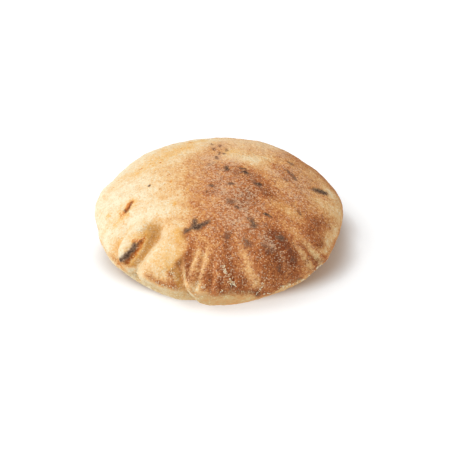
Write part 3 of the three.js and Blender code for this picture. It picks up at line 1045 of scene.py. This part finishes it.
class PUCCIA_OT_flour(bpy.types.Operator):
    """Dust the crust with flour, with semolina that clings together, and with flakes along its torn edge"""

    bl_idname = "puccia.flour"
    bl_label = "Flour"

    def execute(self, context):
        flour, colors = context.scene.puccia.flour, context.scene.puccia.crust
        tree = scatter_tree()
        powder, crumb = flour_material(colors), crumb_material(colors)
        for name, where, density, size, material in (
                ("flour", "dusting", flour.dust_density, flour.dust_size, powder),
                ("crumbs", "crumbs", flour.crumb_density, flour.crumb_size, crumb),
                ("flakes", "torn", flour.flake_density, flour.flake_size, crumb)):
            bed = bpy.data.objects["crust"].data.copy()
            grains = grown_mesh(name, bed, tree, {
                "Where": where, "Density": density, "Size": size, "Seed": flour.seed, "Material": material})
            new_piece(name, grains)
        return {"FINISHED"}


class PUCCIA_OT_stage(bpy.types.Operator):
    """Set up the floor, the lights and the camera"""

    bl_idname = "puccia.stage"
    bl_label = "Stage"

    def execute(self, context):
        stage = context.scene.puccia.stage
        make_floor(stage)
        make_lights(context.scene, stage)
        make_camera(context.scene, stage)
        context.scene.view_settings.view_transform = "Standard"
        return {"FINISHED"}


def aim(thing, target):
    """Turns a light or a camera to look at a point."""
    thing.rotation_mode = "QUATERNION"
    thing.rotation_quaternion = (target - thing.location).to_track_quat("-Z", "Y")


def make_floor(stage):
    reach = FLOOR_REACH
    corners = [(-reach, -reach, 0), (reach, -reach, 0), (reach, reach, 0), (-reach, reach, 0)]
    mesh = bpy.data.meshes.new("floor")
    mesh.from_pydata(corners, [], [(0, 1, 2, 3)])
    mesh.materials.append(floor_material(tuple(stage.floor), stage.glow))
    linked("floor", mesh)


def make_lights(scene, stage):
    for name, strength, spread, place in (
            ("key", stage.key, KEY_SPREAD, KEY_PLACE), ("top", stage.top, TOP_SPREAD, TOP_PLACE)):
        lamp = bpy.data.lights.new(name, "SUN")
        lamp.energy = strength
        lamp.angle = math.radians(spread)
        light = linked(name, lamp)
        light.location = place
        aim(light, LOAF_MIDDLE)
    world = bpy.data.worlds.new("studio")
    world.use_nodes = True
    Wire(world.node_tree).feed(world.node_tree.nodes["Background"], {
        "Color": (1, 1, 1, 1), "Strength": stage.fill})
    scene.world = world


def make_camera(scene, stage):
    """Stands the camera where the photograph was taken from, turned so that the loaf lands on its pixel."""
    lens = bpy.data.cameras.new("camera")
    lens.sensor_width = SENSOR_WIDTH
    lens.lens = PIXELS_PER_METRE * stage.distance / FRAME_WIDTH * SENSOR_WIDTH
    camera = linked("camera", lens)
    back = Vector((0, -math.cos(stage.elevation), math.sin(stage.elevation)))
    right = Vector((1, 0, 0))
    up = back.cross(right)
    camera.location = LOAF_MIDDLE + back * stage.distance
    middle = FRAME_WIDTH / 2
    target = LOAF_MIDDLE + right * ((middle - LOAF_PIXEL[0]) / PIXELS_PER_METRE)
    target += up * ((LOAF_PIXEL[1] - middle) / PIXELS_PER_METRE)
    aim(camera, target)
    scene.camera = camera


class PUCCIA_PT_panel(bpy.types.Panel):
    """Lists what makes up the puccia"""

    bl_idname = "PUCCIA_PT_panel"
    bl_label = "Puccia"
    bl_space_type = "VIEW_3D"
    bl_region_type = "UI"
    bl_category = "Puccia"

    def draw(self, context):
        for operator in OPERATORS:
            self.layout.operator(operator.bl_idname)
        settings = context.scene.puccia
        for group in (settings.loaf, settings.crust, settings.flour, settings.stage):
            box = self.layout.box()
            for name in group.bl_rna.properties.keys():
                if name not in ("rna_type", "name"):
                    box.prop(group, name)


OPERATORS = (PUCCIA_OT_crust, PUCCIA_OT_flour, PUCCIA_OT_stage)
CLASSES = (LoafSettings, CrustSettings, FlourSettings, StageSettings, PucciaSettings, *OPERATORS,
           PUCCIA_PT_panel)


def register():
    for cls in CLASSES:
        bpy.utils.register_class(cls)
    bpy.types.Scene.puccia = PointerProperty(type=PucciaSettings)


def unregister():
    del bpy.types.Scene.puccia
    for cls in reversed(CLASSES):
        bpy.utils.unregister_class(cls)


def main():
    register()
    bpy.ops.puccia.crust()
    bpy.ops.puccia.flour()
    bpy.ops.puccia.stage()


if __name__ == "__main__":
    main()
